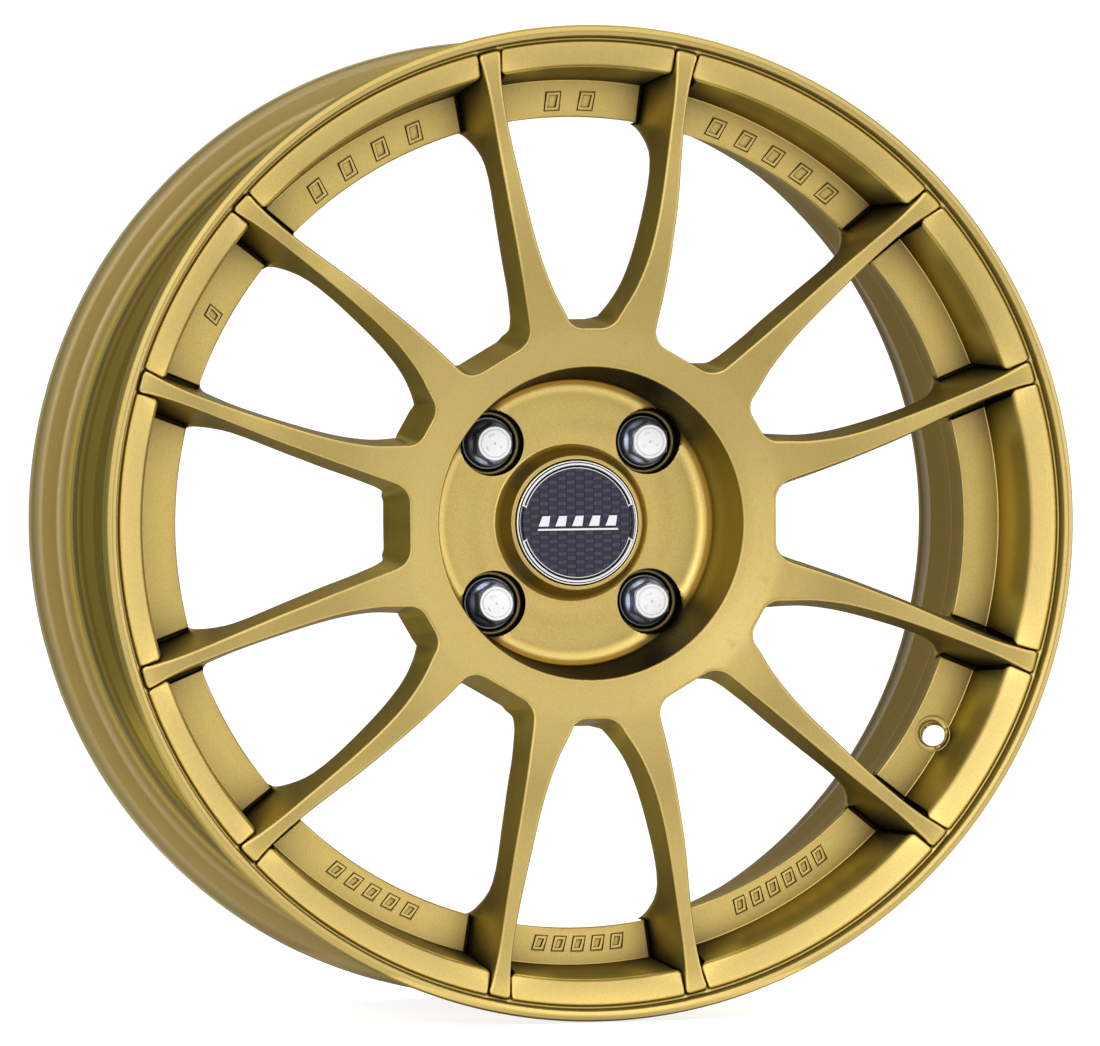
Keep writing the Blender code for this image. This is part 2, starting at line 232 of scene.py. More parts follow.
def ring_points(profile, segments, centre=(0.0, 0.0)):
    """The profile swept round an axis through centre, one row of points for each angle."""
    middle = Vector((centre[0], 0.0, centre[1])) * MM
    return [place(r, TURN * s / segments, d) + middle for s in range(segments) for r, d in profile]


def turned(name, profile, material, segments, centre=(0.0, 0.0)):
    """A closed ring whose profile is a loop."""
    faces = grid_faces(segments, len(profile), close_rows=True, close_columns=True)
    return build(name, ring_points(profile, segments, centre), faces, material)


def capped_faces(segments, count):
    """Faces of a turned solid with count points in its profile, and a flat face at each end."""
    ends = [tuple(count * s + k for s in range(segments)) for k in (0, count - 1)]
    return grid_faces(segments, count, close_rows=True) + ends


def lathe(name, profile, material, segments, centre=(0.0, 0.0)):
    """A turned solid whose profile starts and ends in a flat end."""
    faces = capped_faces(segments, len(profile))
    return build(name, ring_points(profile, segments, centre), faces, material)


def refinish(item, material, chosen):
    """Give the faces whose centre is chosen another material."""
    item.data.materials.append(material)
    for face in item.data.polygons:
        if chosen(face.center):
            face.material_index = 1


def cut(target, others):
    """Exact Boolean differences, applied, with the other objects removed."""
    target.modifiers.clear()
    for other in others:
        modifier = target.modifiers.new("cut", 'BOOLEAN')
        modifier.operation = 'DIFFERENCE'
        modifier.solver = 'EXACT'
        modifier.object = other
    evaluated = target.evaluated_get(bpy.context.evaluated_depsgraph_get())
    mesh = bpy.data.meshes.new_from_object(evaluated)
    target.modifiers.clear()
    target.data = mesh
    for other in others:
        bpy.data.objects.remove(other, do_unlink=True)
    smooth(target, SHARP)


def twelve(points, faces):
    """Mirror a twelfth of the wheel about a pair's axis and turn it round the six pairs."""
    all_points, all_faces = [], []
    for k in range(6):
        axis = HALF_PAIR + PAIR * k
        for side in (1, -1):
            start = len(all_points)
            all_points += [place(r, axis + side * a, d) for r, a, d in points]
            all_faces += [tuple(start + i for i in (face if side > 0 else reversed(face)))
                          for face in faces]
    return all_points, all_faces


# ---------------- wheel centre

STRAIGHT_STEPS = 4  # points along half of a window's straight bottom
ROOT_STEPS = 15  # those and the points round its corner
FACE_COLUMNS = 17
FLANK_POINTS = 12  # how many points flank() returns
EDGE_ROUND = 1.35
SPOKE_RADII = ([98.6, 100.0, 102.0] + [104.0 + 3.6 * k for k in range(8)]
               + [134.0 + 6.0 * k for k in range(8)] + [180.0, 183.5] + [186.0 + 1.0 * k for k in range(8)]
               + [194.0, 196.0, 200.0, 205.0, 209.0] + [211.0 + 0.9 * k for k in range(8)]
               + [219.0 + 1.6 * k for k in range(5)] + [226.8])


def edge_curve(bottom, flat, corner, end_angle, column, mirrored):
    """The face's edge from a window's bottom round its corner and along the spoke.

    Returns points (along, across) the pair's axis. A mirrored curve starts at the wide window
    between pairs, and the other one at the narrow window inside the pair.
    """
    root = [(bottom, flat * k / STRAIGHT_STEPS) for k in range(STRAIGHT_STEPS)]
    corner_steps = ROOT_STEPS - STRAIGHT_STEPS
    for k in range(corner_steps + 1):
        turn = radians(end_angle) * k / corner_steps
        root.append((bottom + corner * (1 - cos(turn)), flat + corner * sin(turn)))
    if mirrored:
        c, s = cos(HALF_PAIR), sin(HALF_PAIR)
        root = [(u * c + v * s, u * s - v * c) for u, v in root]
    along = []
    for radius in SPOKE_RADII:
        across = smooth_table(SPOKE_EDGES, radius, column)
        along.append((sqrt(radius * radius - across * across), across))
    return [Vector(p) for p in root + along]


def inward(curve, mirrored):
    """Unit vectors from the edge into the metal."""
    normals = []
    for k in range(len(curve)):
        run = curve[min(k + 1, len(curve) - 1)] - curve[max(k - 1, 0)]
        if k == 0:
            run = Vector((0, 1)) if not mirrored else Vector((sin(HALF_PAIR), -cos(HALF_PAIR)))
        run.normalize()
        normals.append(Vector((run.y, -run.x)) if mirrored else Vector((-run.y, run.x)))
    return normals


def corner_flare(radius):
    """How far a spoke's flank widens at the rim end of a window."""
    reach = 3.0
    t = radius - (LEDGE_RADIUS - 0.6 - reach)
    if t <= 0 or radius > LEDGE_RADIUS:
        return 0.0
    return reach - sqrt(max(reach * reach - t * t, 0.0))


def flank(point, normal, drop):
    """Points from the face's edge down the spoke's side to its back, as (along, across, depth)."""
    radius = point.length
    face = face_depth(radius) + drop
    widest = max(smooth_table(WIDEST_DEPTHS, radius), face + EDGE_ROUND + 0.4)
    back = max(smooth_table(BACK_DEPTHS, radius), widest + 0.3)
    column = []
    for k in range(4):
        phi = pi / 2 * k / 3
        inset = EDGE_ROUND * (1 - sin(phi))
        spot = point + normal * inset
        level = face_depth(spot.length) + drop
        column.append((spot, level + EDGE_ROUND * (1 - cos(phi))))
    top = face + EDGE_ROUND
    for share, flare in ((0.3, 0.0), (0.6, 0.0), (0.82, 0.06), (0.93, 0.3), (1.0, 1.0)):
        depth = top + (widest - top) * share
        outset = (depth - top) * DRAFT + corner_flare(radius) * flare
        column.append((point - normal * outset, depth))
    full = (widest - top) * DRAFT + corner_flare(radius)
    tuck = 0.2 if radius >= LEDGE_RADIUS else min(2.6, (back - widest) * 0.55)
    for phi in ROUND_STEPS:
        outset = full - tuck * (1 - cos(phi))
        column.append((point - normal * outset, widest + (back - widest) * sin(phi)))
    return column


def section(inner_point, inner_normal, outer_point, outer_normal, drop=0.0):
    """One closed loop round a spoke: face, outer flank, back, inner flank."""
    inner = [polar(p, d) for p, d in flank(inner_point, inner_normal, drop)]
    outer = [polar(p, d) for p, d in flank(outer_point, outer_normal, drop)]
    loop = []
    for k in range(FACE_COLUMNS):
        t = k / (FACE_COLUMNS - 1)
        radius, angle = (inner[0][i] * (1 - t) + outer[0][i] * t for i in (0, 1))
        loop.append((radius, angle, face_depth(radius) + drop))
    loop += outer[1:]
    for k in range(1, FACE_COLUMNS - 1):
        t = 1 - k / (FACE_COLUMNS - 1)
        loop.append(tuple(inner[-1][i] * (1 - t) + outer[-1][i] * t for i in range(3)))
    loop += reversed(inner[1:])
    return loop


def polar(point, depth):
    return (point.length, atan2(point.y, point.x), depth)


def hub_profile():
    """From the front face in over the recess, the boss and the bore, and out along the back."""
    front = [(radius, face_depth(radius), 0) for radius in (84.0, 80.0, 77.0)]
    front.append((RECESS_RADIUS, 6.5, 1.6))
    recess = [(67.6, FLOOR_DEPTH, 7.5), (37.0, FLOOR_DEPTH, 2.2)]
    boss = [(35.6, 45.6, 1.2), (32.2, 36.3, 1.0), (30.2, 36.2, 0.35), (30.05, 40.0, 0.0)]
    bore = [(28.0, 40.0, 0.3), (28.0, 50.0, 0.3), (31.0, 51.0, 0.5), (CENTRE_BORE, 54.0, 0.5),
            (CENTRE_BORE, HUB_FACE - 1.5, 0.3), (CENTRE_BORE + 1.5, HUB_FACE, 0.3)]
    back = [(PAD_RADIUS, HUB_FACE, 1.0), (73.5, 70.0, 3.0), (79.0, 59.0, 8.0), (86.0, 47.6, 0.0)]
    return rounded(front + recess + boss + bore + back)


def centre_twelfth():
    """Points and faces of a twelfth: the spoke's loops, and the hub's sheet that joins them."""
    narrow = edge_curve(92.5, 4.0, 9.3, 59.0, 1, False)
    wide = edge_curve(89.2, 10.0, 10.0, 71.0, 2, True)
    narrow_in, wide_in = inward(narrow, False), inward(wide, True)
    loops = [section(narrow[k], narrow_in[k], wide[k], wide_in[k]) for k in range(len(narrow))]
    for phi in ROUND_STEPS:
        along = TIP_RADIUS - EDGE_ROUND * (1 - sin(phi))
        pair = []
        for column in (1, 2):
            across = smooth_table(SPOKE_EDGES, along, column)
            pair.append(Vector((sqrt(along * along - across * across), across)))
        loops.append(section(pair[0], narrow_in[-1], pair[1], wide_in[-1], EDGE_ROUND * (1 - cos(phi))))
    count = len(loops[0])
    points = [point for loop in loops for point in loop]
    faces = grid_faces(len(loops), count, close_columns=True)
    faces.append(tuple(range(len(points) - count, len(points))))
    front = loops[0][:FACE_COLUMNS]
    back_start = FACE_COLUMNS + FLANK_POINTS - 2
    back = loops[0][back_start:back_start + FACE_COLUMNS][::-1]
    angles = [HALF_PAIR * k / (FACE_COLUMNS - 1) for k in range(FACE_COLUMNS)]
    sheet = [front] + [[(r, angle, d) for angle in angles] for r, d in hub_profile()] + [back]
    faces += grid_faces(len(sheet), FACE_COLUMNS, len(points))
    points += [point for row in sheet for point in row]
    return points, faces


def bolt_centres():
    """Each bolt's number and centre, as (x, z) in millimetres."""
    for k in range(4):
        low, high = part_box(f"wheel_bolt_{k + 1}")
        yield k + 1, ((low.x + high.x) / 2 / MM, (low.z + high.z) / 2 / MM)


def wheel_centre(gold):
    item = build("wheel_centre_forged", *twelve(*centre_twelfth()), gold)
    seat_hole, shank_hole, seat_floor = 12.9, 7.5, SEAT_DEPTH + 9.2
    outline = rounded([(POCKET_RADIUS + 0.3, 20.0, 0), (POCKET_RADIUS + 0.3, FLOOR_DEPTH, 0),
                       (POCKET_RADIUS, FLOOR_DEPTH + 0.35, 0), (POCKET_RADIUS, SEAT_DEPTH, 1.6),
                       (seat_hole, SEAT_DEPTH, 0), (seat_hole, seat_floor, 0), (shank_hole, seat_floor, 0),
                       (shank_hole, HUB_FACE + 5, 0)])
    cut(item, [lathe("drill", outline, gold, 48, centre) for _, centre in bolt_centres()])
    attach(item, "wheel")
    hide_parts("wheel_centre")


# ---------------- rim

def flange(mirror):
    """The flange's tyre side from its tip to the bead seat, front or rear."""
    outline = [(LIP_RADIUS, 0.2, 1.8), (LIP_RADIUS - 0.1, 10.9, 7.6), (LIP_RADIUS - 14.0, 11.4, 4.6),
               (BEAD_SEAT, 18.0, 3.0)]
    return [(r, WIDTH - d, fillet) for r, d, fillet in outline] if mirror else outline


def pad_rows():
    """Matching profiles of the raised pads and of the bed between them, groove to ledge."""
    pad = [(229.6, 3.7, 0), (228.7, 3.7, 0.5), (227.7, 1.9, 1.6), (225.4, 3.0, 0), (224.4, 3.48, 0),
           (216.2, 7.4, 4.2), (211.2, LEDGE_DEPTH, 0.6), (LEDGE_RADIUS, LEDGE_DEPTH, 0.9),
           (194.2, 50.0, 2.0), (196.4, 56.5, 0)]
    bed = [(229.6, 3.7, 0), (228.8, 4.0, 0.4), (227.6, 5.0, 0.6), (225.4, 6.0, 0), (224.4, 6.46, 0),
           (218.4, 9.2, 2.5), (212.8, BED_DEPTH, 1.0), (LEDGE_RADIUS - 0.8, BED_DEPTH, 0.8),
           (194.2, 52.5, 1.5), (196.4, 56.5, 0)]
    return rounded(pad, 5), rounded(bed, 5)


def outer_rows():
    """The rest of the barrel: inside to the rear flange, tyre side, and back to the front lip."""
    inside = [(197.4, 60.0, 3.0), (197.9, 80.0, 20.0), (204.0, 97.0, 20.0), (205.0, 141.0, 12.0),
              (208.0, 152.0, 12.0), (213.6, 180.0, 12.0), (215.4, 198.6, 2.0)]
    rear_face = [(218.8, 202.6, 2.0), (223.5, 203.8, 4.0), (231.4, 203.8, 1.2),
                 (LIP_RADIUS - 0.6, 202.2, 1.6)]
    seat_rear = [(BEAD_SEAT - 0.3, 175.0, 1.0), (BEAD_SEAT - 1.1, 173.6, 1.0), (215.2, 164.4, 8.0),
                 (212.0, 155.0, 6.0), (209.0, 141.0, 8.0), (208.0, 98.0, 10.0), (WELL, 83.0, 6.0),
                 (WELL, 57.5, 6.0)]
    seat_front = [(214.8, 45.6, 3.0), (217.8, 40.8, 2.0), (218.1, 37.4, 1.5), (216.9, 33.8, 3.0)]
    lip = [(LIP_RADIUS - 0.9, -2.3, 1.0), (LIP_RADIUS - 3.0, LIP_FRONT, 1.2), (230.5, -2.3, 1.2),
           (229.9, 3.0, 0.5)]
    tyre_side = flange(True) + seat_rear + seat_front + flange(False)[::-1]
    return rounded(inside + rear_face + tyre_side + lip, 6)


def pad_gap(radius, depth):
    """Distance from the spoke face's edge to the pad's end, wider at its corners and with depth."""
    pad_foot, inner_corner, outer_corner = 215.8, 3.0, 2.6
    t = min(max(inner_corner - (radius - pad_foot), 0.0), inner_corner)
    rounding = inner_corner - sqrt(inner_corner * inner_corner - t * t)
    t = min(max(radius - (TIP_RADIUS - outer_corner), 0.0), 0.96 * outer_corner)
    rounding += outer_corner - sqrt(outer_corner * outer_corner - t * t)
    return 0.45 + rounding + 0.1 * max(depth - 9.0, 0.0)


def rim_columns(pad, bed):
    """One row of the twelfth: angles and the share of the way from pad to bed."""
    radius, depth = pad
    at = min(max(radius, 193.0), TIP_RADIUS)
    gap = pad_gap(at, min(depth, LEDGE_DEPTH))
    inner = (smooth_table(SPOKE_EDGES, at, 1) - gap) / at
    outer = (smooth_table(SPOKE_EDGES, at, 2) + gap) / at
    inner, outer = asin(inner), asin(outer)
    height = hypot(pad[0] - bed[0], pad[1] - bed[1])
    pad_face_depth = 12.0
    end_round = 1.45 if depth < pad_face_depth else 0.6
    columns = [((inner - end_round / at) * k / 8, 0.0) for k in range(9)]
    shares = []
    for phi in ROUND_STEPS:
        down = end_round * (1 - cos(phi))
        share = min(down / height, 0.9) if height > 0.01 else 0.0
        shares.append((end_round * (1 - sin(phi)), share))
    foot = 0.35 / at
    columns += [(inner - back / at, share) for back, share in shares]
    columns += [(inner + foot, 1.0), ((inner + outer) / 2, 1.0), (outer - foot, 1.0)]
    columns += [(outer + back / at, share) for back, share in reversed(shares)]
    start = outer + end_round / at
    columns += [(start + (HALF_PAIR - start) * k / 11, 0.0) for k in range(12)]
    return columns


def rim_twelfth():
    """Points and faces of a twelfth: rows round the barrel, with pads and beds at the front."""
    pads, beds = pad_rows()
    rest = outer_rows()
    points = []
    for pad, bed in zip(pads, beds):
        for angle, share in rim_columns(pad, bed):
            points.append((pad[0] + (bed[0] - pad[0]) * share, angle, pad[1] + (bed[1] - pad[1]) * share))
    for radius, depth in rest:
        on_lip = radius >= 228.0 and depth <= 20.0
        guide = (TIP_RADIUS, 4.0) if on_lip else pads[-1]
        points += [(radius, angle, depth) for angle, _ in rim_columns(guide, guide)]
    rows = len(pads) + len(rest)
    return points, grid_faces(rows, len(points) // rows, close_rows=True)


def valve_tool(outline, material, tilt):
    """A turned body on the valve hole's axis, tilted outward. Heights grow towards the car."""
    sides = 64
    points = [Vector((r * cos(TURN * s / sides), r * sin(TURN * s / sides), h)) * MM
              for s in range(sides) for r, h in outline]
    seat = Vector((0, LEDGE_DEPTH + 0.1 - HUB_FACE, VALVE_RADIUS)) * MM
    spin = (Matrix.Rotation(pi / 2 - VALVE_ANGLE, 4, 'Y') @ Matrix.Translation(seat)
            @ Matrix.Rotation(tilt - pi / 2, 4, 'X'))
    return build("valve_tool", [spin @ p for p in points], capped_faces(sides, len(outline)), material)


def rim_barrel(gold):
    """The barrel, less the valve hole and the mark pockets, with flat shading on the ledge."""
    item = build("rim_barrel_forged", *twelve(*rim_twelfth()), gold)
    seat_radius, hole_radius = 8.8, 5.65
    face_tilt = radians(7)
    facing = valve_tool([(seat_radius, -9.0), (seat_radius, 0.75), (seat_radius - 0.5, 0.95),
                         (seat_radius - 1.5, 0.45), (hole_radius + 0.2, 1.6), (hole_radius, 2.2)],
                        gold, face_tilt)
    drill = valve_tool([(hole_radius, -5.0), (hole_radius, 30.0)], gold, VALVE_LEAN)
    cut(item, [facing, drill, mark_pockets(gold)])
    for face in item.data.polygons:
        if abs(face.normal.y) > 0.9999 and abs(depth_of(face.center) - LEDGE_DEPTH) < 1.5:
            face.use_smooth = False
    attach(item, "wheel")
    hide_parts("rim_barrel")


def mark_places():
    """Angle, width and height of each plain slanted mark between the spokes."""
    groups = ((120, 4, 5.2, 8.6), (90, 2, 4.7, 8.6), (60, 5, 4.5, 8.6), (150, 1, 3.0, 7.0),
              (240, 5, 2.9, 6.8), (270, 5, 2.7, 6.8), (300, 6, 2.6, 6.8))
    for middle, count, pitch, tall in groups:
        for k in range(count):
            yield radians(middle + pitch * ((count - 1) / 2 - k)), 0.8 * tall, tall


def mark_loop(angle, wide, tall, inset, level):
    """Four corners of a slanted mark, drawn in by inset and raised by level above the ledge."""
    slant = 1.4
    middle = (LEDGE_RADIUS + 209.0) / 2
    across = Vector((-sin(angle), 0, cos(angle)))
    outward = Vector((cos(angle), 0, sin(angle)))
    upright = 1 if sin(angle) > 0 else -1
    corners = []
    for x, z in ((-1, -1), (1, -1), (1, 1), (-1, 1)):
        u = x * (wide / 2 - inset) + z * slant / 2
        v = z * (tall / 2 - inset)
        flat = outward * (middle + upright * v) - across * upright * u
        corners.append((flat + Vector((0, LEDGE_DEPTH - level - HUB_FACE, 0))) * MM)
    return corners


def mark_pockets(gold):
    """Shallow pockets that leave a fine groove round each mark."""
    above, below = 2.0, -0.85
    mouth, floor = -0.75, -0.4
    points, faces = [], []
    for angle, wide, tall in mark_places():
        faces += prism_faces(2, 4, len(points))
        points += mark_loop(angle, wide, tall, mouth, above) + mark_loop(angle, wide, tall, floor, below)
    return build("mark_pockets", points, faces, gold)


def ledge_marks(gold):
    """Plain slanted loops raised on the ledge."""
    stroke, height, soft, foot = 1.45, 0.6, 0.3, -1.1
    rings = ((0.0, foot), (0.0, height - soft), (soft, height), (stroke - soft, height),
             (stroke, height - soft), (stroke, foot))
    points, faces = [], []
    for angle, wide, tall in mark_places():
        faces += grid_faces(len(rings), 4, len(points), close_rows=True, close_columns=True)
        for inset, level in rings:
            points += mark_loop(angle, wide, tall, inset, level)
    item = build("ledge_marks", points, faces, gold, 60)
    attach(item, "wheel")


# ---------------- bolts and their seats

BOLT_SIDES = 72
ACROSS_FLATS = 17.0
DISH = 0.12  # depth of the flat ring in the head's face


def circle(radius, depth):
    return [(radius, TURN * k / BOLT_SIDES, depth) for k in range(BOLT_SIDES)]


def hexagon(radius, depth, corner):
    """Points round a hexagon whose six corners are cut back to a circle of radius corner."""
    ring = []
    for k in range(BOLT_SIDES):
        angle = TURN * k / BOLT_SIDES
        off_flat = (angle + pi / 6) % (pi / 3) - pi / 6
        ring.append((min(radius / cos(off_flat), corner), angle, depth))
    return ring


def head_rings(top, flange_back):
    """The bolt's head, from the middle of its dished face out to the back of its flange."""
    flat = ACROSS_FLATS / 2
    dish = ((TINY, 0.55), (0.5, 0.5), (0.62, DISH), (6.3, DISH), (6.5, 0.42), (6.85, 0.42), (7.05, 0.08),
            (7.3, 0.0), (7.9, 0.02))
    rings = [circle(radius, top + depth) for radius, depth in dish]
    rings += [hexagon(flat, top + depth, corner) for corner, depth in ((8.15, 0.25), (9.0, 0.8), (9.75, 1.3))]
    rings += [hexagon(flat, flange_back - 3.4, 9.75), hexagon(flat + 0.2, flange_back - 3.1, 9.9)]
    flange_rings = ((10.2, 2.55), (10.75, 2.25), (11.15, 1.8), (11.3, 1.3), (11.3, 0.35), (11.0, 0.0),
                    (5.5, 0.0))
    return rings + [circle(radius, flange_back - depth) for radius, depth in flange_rings]


def shank_rings(flange_back, end):
    """A plain neck, then a thread drawn as rings whose ridge climbs by the pitch in each turn."""
    core, ridge, pitch, steps = 5.0, 5.85, 1.5, 4
    thread_start = flange_back + 14.0
    rings = [circle(ridge, flange_back + 0.6), circle(ridge, thread_start)]
    for j in range(int((end - 2.0 - thread_start) / pitch * steps)):
        ring = []
        for k in range(BOLT_SIDES):
            phase = (j / steps + k / BOLT_SIDES) % 1.0
            radius = ridge - (ridge - core) * abs(2 * phase - 1)
            ring.append((radius, TURN * k / BOLT_SIDES, thread_start + pitch * j / steps))
        rings.append(ring)
    return rings + [circle(core, end - 1.6), circle(4.2, end), circle(TINY, end)]


def wheel_bolt(number, centre, steel, bright):
    """Hexagon head, turned flange and threaded shank; the head's top is faced bright."""
    low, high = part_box(f"wheel_bolt_{number}")
    top = depth_of(low)
    flange_back = SEAT_DEPTH - 2.75
    rings = head_rings(top, flange_back) + shank_rings(flange_back, depth_of(high))
    shift = Vector((centre[0], 0, centre[1])) * MM
    points = [place(*spot) + shift for ring in rings for spot in ring]
    faces = grid_faces(len(rings), BOLT_SIDES, close_columns=True)
    add_pips(points, faces, centre, top + DISH)
    item = build(f"wheel_bolt_{number}_fine", points, faces, steel, 30)
    faced_radius, faced_depth = 8.3, top + 0.6
    refinish(item, bright, lambda spot: depth_of(spot) < faced_depth and hypot(
        spot.x / MM - centre[0], spot.z / MM - centre[1]) < faced_radius)
    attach(item, f"wheel_bolt_{number}")
    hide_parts(f"wheel_bolt_{number}")


def add_pips(points, faces, centre, depth):
    """Small raised grade pips on the head's face."""
    sides, ring_radius = 12, 4.0
    outline = [(TINY, depth - 0.40), (0.50, depth - 0.36), (0.75, depth + 0.15), (TINY, depth + 0.15)]
    for angle in (96, 110, 124, 210, 224, 330):
        spot = (centre[0] + ring_radius * cos(radians(angle)),
                centre[1] + ring_radius * sin(radians(angle)))
        faces += grid_faces(sides, len(outline), len(points), close_rows=True)
        points += ring_points(outline, sides, spot)


def bolt_fittings(number, centre, dark_steel, seat_steel):
    """The loose collar under the head and the hard cone seat it presses on."""
    top = SEAT_DEPTH - 2.4
    collar_outline = [(6.2, top + 3.0, 0), (6.2, top, 0.4), (11.3, top, 0.5), (11.3, top + 2.6, 0.5),
                      (10.6, top + 2.8, 0.4), (7.4, top + 8.2, 0.4), (6.2, top + 8.2, 0.3)]
    collar = turned(f"bolt_collar_{number}_fine", rounded(collar_outline, 3), dark_steel, 72, centre)
    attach(collar, f"bolt_collar_{number}")
    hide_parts(f"bolt_collar_{number}")
    seat_top = SEAT_DEPTH + 0.2
    seat_back = seat_top + 8.6
    seat_outline = [(7.4, seat_top + 7.8, 0), (7.4, seat_back, 0.2), (12.55, seat_back, 0.4),
                    (12.55, seat_top, 0.4), (11.6, seat_top, 0.2), (7.4, seat_top + 7.0, 0.4)]
    seat = turned(f"bolt_seat_{number}_fine", rounded(seat_outline, 3), seat_steel, 72, centre)
    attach(seat, "wheel")
    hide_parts(f"bolt_seat_{number}")


# ---------------- centre cap and centring ring

CAP_SEGMENTS = 144
BADGE_BACK = 36.7  # depth of the back of the badge and the trim ring


def finger_slots(body, material):
    """Cut six slots that part the skirt into clip fingers."""
    middle, depth = 26.0, 48.6
    half_radial, half_depth, half_wide = 4.0, 6.2, 2.0
    signs = [(x, y, z) for x in (-1, 1) for y in (-1, 1) for z in (-1, 1)]
    sides = [(0, 1, 3, 2), (4, 5, 7, 6), (0, 1, 5, 4), (2, 3, 7, 6), (0, 2, 6, 4), (1, 3, 7, 5)]
    slots = []
    for k in range(6):
        turn = Matrix.Rotation(PAIR * k, 4, 'Y')
        corners = [Vector((middle + half_radial * x, depth - HUB_FACE + half_depth * y, half_wide * z)) * MM
                   for x, y, z in signs]
        slots.append(build("finger_slot", [turn @ corner for corner in corners], sides, material))
    cut(body, slots)


def cap_body(plastic, chrome):
    """The shell: a flat plate in a bright rim, and a skirt of clip fingers behind it."""
    low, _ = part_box("cap_body")
    front = depth_of(low)
    plate, inside = front + 1.9, front + 4.45
    rim = [(28.4, plate, 0), (28.75, plate, 0.1), (28.8, front + 0.1, 0.25), (29.45, front, 0.3),
           (29.7, front + 0.9, 0.4), (29.7, inside, 0.3), (27.45, inside, 0.3)]
    finger = [(27.45, 51.6, 0.6), (26.7, 53.4, 0.5), (25.4, 53.4, 0.3), (25.4, 52.2, 0.2), (26.1, 51.6, 0.2),
              (26.1, 49.8, 0.2), (25.4, 49.2, 0.2), (24.8, 48.8, 0.2), (24.8, inside, 0.5)]
    middle = 12.0
    outline = [(TINY, plate), (middle, plate)] + rounded(rim + finger, 3) + [(middle, inside), (TINY, inside)]
    body = lathe("cap_body_fine", outline, plastic, CAP_SEGMENTS)
    finger_slots(body, plastic)
    refinish(body, chrome,
             lambda spot: hypot(spot.x, spot.z) / MM > 28.7 and depth_of(spot) < front + 1.2)
    return body


def cap(plastic, chrome, cloth, steel):
    """The cap's five pieces, which move together."""
    body = cap_body(plastic, chrome)
    wire, middle, depth = 0.75, 25.15, 50.7
    loop = [(middle + wire * cos(TURN * k / 12), depth + wire * sin(TURN * k / 12)) for k in range(12)]
    spring = turned("cap_spring_ring_fine", loop, steel, 96)
    ring = cap_trim(chrome, plastic)
    disc = [(TINY, 35.12, 0), (26.6, 35.12, 0.25), (26.9, BADGE_BACK, 0.1), (TINY, BADGE_BACK, 0)]
    badge = lathe("cap_badge_fine", rounded(disc, 3), cloth, CAP_SEGMENTS)
    emblem = cap_emblem(chrome)
    for item, node, finish in ((body, "cap_body", "cap_plastic"), (spring, "cap_spring_ring", "seat_steel"),
                               (ring, "cap_trim_ring", "chrome"), (badge, "cap_badge", "dark_weave"),
                               (emblem, "cap_emblem", "chrome")):
        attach(item, "cap")
        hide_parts(node)


def cap_trim(chrome, plastic):
    """A low ring that rises into two long arcs, each closed by a thin line inside it."""
    base = 35.9
    low = [(27.2, BADGE_BACK), (27.2, base), (28.6, base), (28.6, BADGE_BACK)]
    points = ring_points(low, CAP_SEGMENTS)
    faces = grid_faces(CAP_SEGMENTS, len(low), close_rows=True, close_columns=True)
    notch = radians(17)
    thin, end_width = 0.02, 0.022
    for start in (notch, pi + notch):
        sweep = pi - 2 * notch
        arc_strip(points, faces, 27.35, 28.55, 34.55, 36.0, start, sweep)
        arc_strip(points, faces, 25.85, 26.45, 34.8, 35.3, start - thin, sweep + 2 * thin)
    for start in (-notch, pi - notch):
        arc_strip(points, faces, 28.0, 28.5, 34.8, 36.0, start + thin, 2 * notch - 2 * thin)
        for end in (start - end_width, start + 2 * notch):
            arc_strip(points, faces, 26.3, 28.3, 34.8, 35.3, end, end_width, 2)
    item = build("cap_trim_ring_fine", points, faces, chrome, 35)
    refinish(item, plastic, lambda spot: depth_of(spot) > base - 0.1)
    return item


def arc_strip(points, faces, inner, outer, front, back, start, sweep, steps=48):
    """A raised band along an arc, with chamfered front edges and closed ends."""
    soft = 0.16
    outline = [(inner, back), (inner, front + soft), (inner + soft, front), (outer - soft, front),
               (outer, front + soft), (outer, back)]
    faces += prism_faces(steps + 1, len(outline), len(points))
    for k in range(steps + 1):
        points += [place(r, start + sweep * k / steps, d) for r, d in outline]


def cap_emblem(chrome):
    """A thin bar under five slanted teeth, with chamfered edges."""
    low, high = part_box("cap_emblem")
    half = (high.x - low.x) / 2 / MM
    foot, head = low.z / MM, high.z / MM
    front, back = depth_of(low), depth_of(high) + 0.45
    shapes = [[(-half, foot), (half, foot), (half - 0.4, foot + 0.9), (-half + 0.4, foot + 0.9)]]
    pitch, width, slant, tooth_foot = 8.2, 5.2, 2.0, foot + 1.9
    for k in range(5):
        left = -half + 0.6 + pitch * k
        shapes.append([(left, tooth_foot), (left + width, tooth_foot), (left + width + slant - 1.2, head),
                       (left + slant, head)])
    chamfer = 0.16
    points, faces = [], []
    for shape in shapes:
        middle = Vector((sum(x for x, _ in shape) / 4, sum(z for _, z in shape) / 4))
        faces += prism_faces(3, 4, len(points))
        for inset, depth in ((0.0, back), (0.0, front + 0.15), (chamfer, front)):
            for x, z in shape:
                toward = middle - Vector((x, z))
                spot = Vector((x, z)) + toward.normalized() * inset
                points.append(Vector((spot.x, depth - HUB_FACE, spot.y)) * MM)
    return build("cap_emblem_fine", points, faces, chrome, 30)


